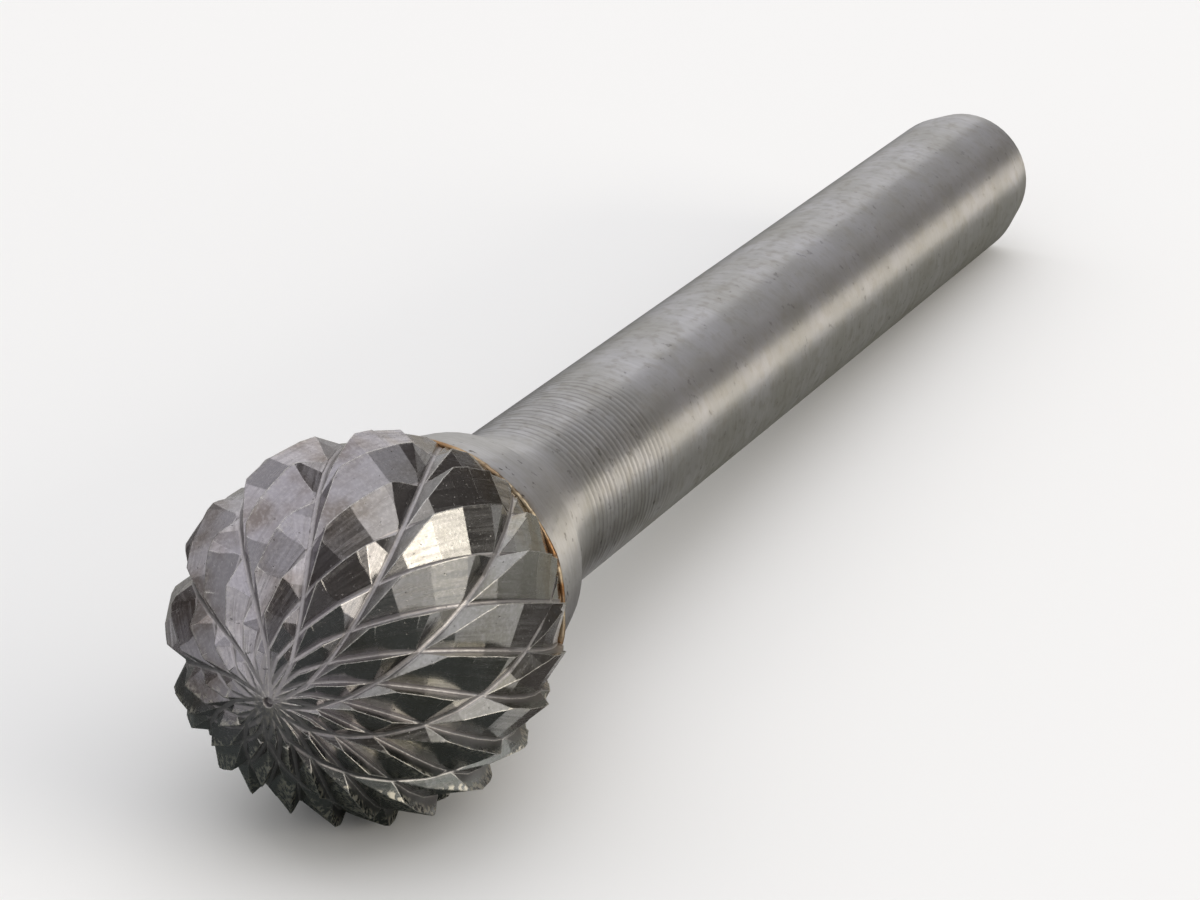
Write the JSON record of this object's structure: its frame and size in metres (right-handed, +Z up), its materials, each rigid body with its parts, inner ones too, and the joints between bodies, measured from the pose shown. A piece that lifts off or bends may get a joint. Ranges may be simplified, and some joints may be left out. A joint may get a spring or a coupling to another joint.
{
  "type": "carbide burr",
  "caption": "Ball-shaped rotary burr with double-cut carbide teeth, brazed to a straight steel shank for a hand grinder.",
  "frame": {"origin": "on the bench, below the middle of the tool's bounding box", "axes": "+Z up off the bench that the tool lies on, +X along the tool in plan, from the ball's tip towards the shank's free end"},
  "size_m": [0.061, 0.012, 0.0119],
  "materials": {
    "cemented_carbide": "ground",
    "braze_filler": "oxidised",
    "shank_steel": "ground and turned"
  },
  "bodies": {
    "root": {"carbide_head": "cemented_carbide", "braze_joint": "braze_filler", "shank": "shank_steel"}
  },
  "joints": []
}
